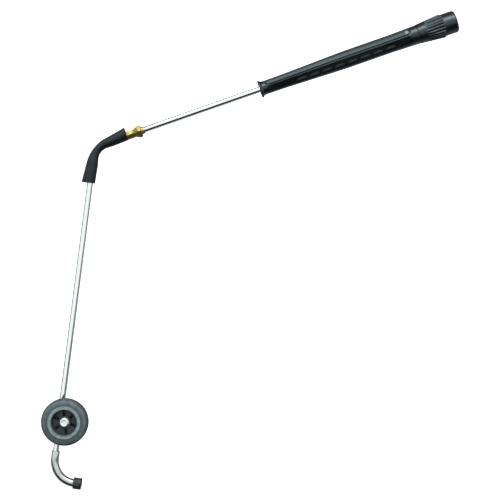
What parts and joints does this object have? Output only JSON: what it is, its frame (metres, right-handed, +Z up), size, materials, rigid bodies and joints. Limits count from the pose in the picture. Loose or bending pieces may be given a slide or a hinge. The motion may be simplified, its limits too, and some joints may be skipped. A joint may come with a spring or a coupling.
{
  "type": "wheeled sprayer lance",
  "caption": "Bent hand-held spray lance with a long grip, twist valve, brass union, elbow sleeve, clamped support wheel and side-facing nozzle.",
  "frame": {"origin": "middle of the hand grip, on the axis of the upper pipe", "axes": "+Z up as the lance is held with its lower pipe hanging; the lance lies in the XZ plane, the grip's hose end towards +X and up, the wheel on the -Y side"},
  "size_m": [0.7141, 0.0571, 0.8233],
  "materials": {
    "black_polypropylene": "moulded, fine texture",
    "grey_plastic_cap": "moulded",
    "stainless_tube": "polished",
    "brass_turned": "turned",
    "rubber_black": "moulded",
    "ceramic_white": "lapped",
    "acetal_white": "turned",
    "spring_steel": "phosphated",
    "strainer_mesh": "woven",
    "brass_union": "machined",
    "rubber_boot": "moulded",
    "grey_rubber": "moulded",
    "black_nylon": "moulded",
    "zinc_steel": "zinc plated",
    "nickel_brass": "nickel plated",
    "black_acetal": "moulded"
  },
  "bodies": {
    "lance": {"grip_body": "black_polypropylene", "grip_screw": "grey_plastic_cap", "upper_pipe": "stainless_tube", "valve_housing": "brass_turned", "disc_seal": "rubber_black", "fixed_disc": "ceramic_white", "thrust_washer": "acetal_white", "gland_nut": "brass_turned", "union_body": "brass_union", "union_o_ring": "rubber_black", "union_tail": "brass_union", "union_nut": "brass_union", "lower_pipe": "stainless_tube", "elbow_sleeve": "rubber_boot", "axle_sleeve": "zinc_steel", "axle_bolt": "zinc_steel", "axle_washers": "zinc_steel", "axle_lock_nut": "zinc_steel", "clamp_front": "black_nylon", "clamp_rear": "black_nylon", "clamp_screw": "zinc_steel", "nozzle_elbow": "nickel_brass", "nozzle_packing": "rubber_black", "swirl_core": "acetal_white", "orifice_disc": "ceramic_white", "nozzle_cap": "black_acetal"},
    "valve_sleeve": {"twist_sleeve": "black_polypropylene", "inlet_spindle": "brass_turned", "turning_disc": "ceramic_white", "sleeve_clip": "spring_steel", "inlet_strainer": "strainer_mesh", "spindle_o_rings": "rubber_black"},
    "wheel": {"tyre": "grey_rubber", "wheel_hub": "black_nylon", "wheel_bush": "acetal_white"}
  },
  "joints": [
    {"name": "wheel_spin", "type": "hinge", "parent": "lance", "child": "wheel", "pos_m": [-0.47347, -0.0182, -0.61793], "axis": [0, -1, 0], "continuous": true},
    {"name": "valve_twist", "type": "hinge", "parent": "lance", "child": "valve_sleeve", "pos_m": [0.14161, 0, 0.04945], "axis": [0.9441, 0, 0.3297], "range_deg": [0, 90]}
  ]
}
